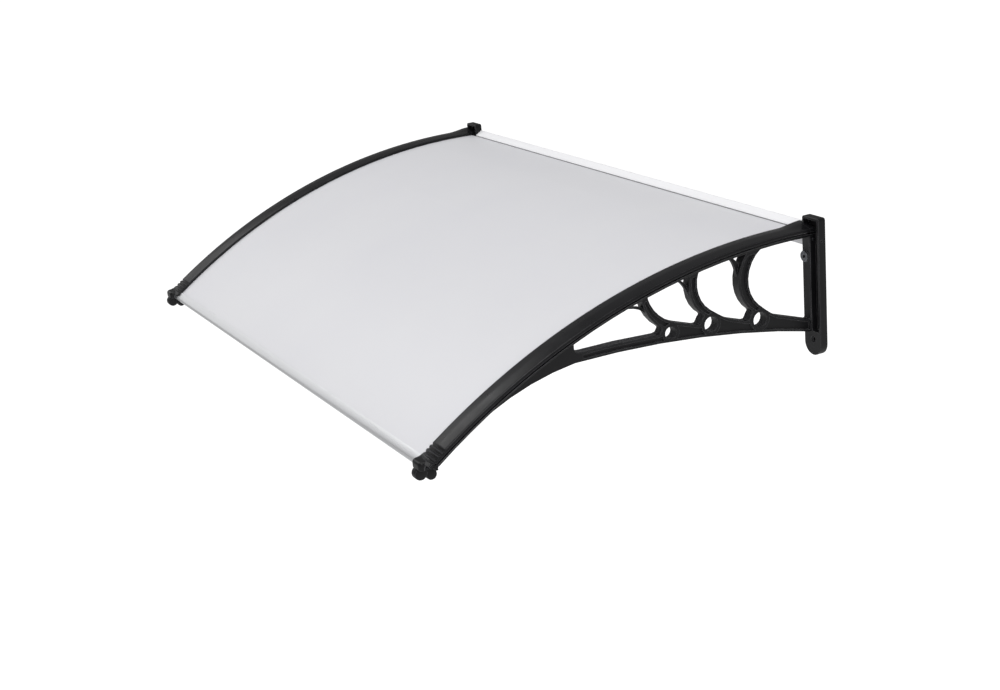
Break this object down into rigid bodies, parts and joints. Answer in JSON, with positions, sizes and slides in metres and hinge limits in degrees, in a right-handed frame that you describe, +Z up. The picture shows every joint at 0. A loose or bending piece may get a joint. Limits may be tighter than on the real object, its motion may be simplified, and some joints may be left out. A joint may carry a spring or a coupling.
{
  "type": "door canopy",
  "caption": "Door canopy: a bent frosted polycarbonate sheet on black moulded lattice brackets, edged with aluminium bars, fixed to a wall over a door.",
  "frame": {"origin": "on the wall plane at the back of the rear bar, midway between the outer edges of the two cover strips, at the height of the arch's crest", "axes": "+Z up, -Y out of the wall over the door, +X to the right as seen by someone who faces the wall"},
  "size_m": [1.236, 0.75, 0.2717],
  "materials": {
    "black_plastic": "fine grain moulded plastic",
    "frosted_polycarbonate": "frosted, satin",
    "aluminium": "anodised satin",
    "zinc_steel": "zinc plated",
    "seal_rubber": "matte"
  },
  "bodies": {
    "root": {"right_bracket": "black_plastic", "left_bracket": "black_plastic", "right_cover_strip": "black_plastic", "left_cover_strip": "black_plastic", "roof_sheet": "frosted_polycarbonate", "front_bar": "aluminium", "rear_bar": "aluminium", "front_gasket": "seal_rubber", "rear_gasket": "seal_rubber", "right_cover_screw_1": "zinc_steel", "right_cover_screw_2": "zinc_steel", "right_cover_screw_3": "zinc_steel", "right_cover_screw_4": "zinc_steel", "left_cover_screw_1": "zinc_steel", "left_cover_screw_2": "zinc_steel", "left_cover_screw_3": "zinc_steel", "left_cover_screw_4": "zinc_steel", "right_front_screw": "zinc_steel", "left_front_screw": "zinc_steel", "right_rear_screw": "zinc_steel", "left_rear_screw": "zinc_steel", "right_wall_washer": "zinc_steel", "left_wall_washer": "zinc_steel"}
  },
  "joints": []
}
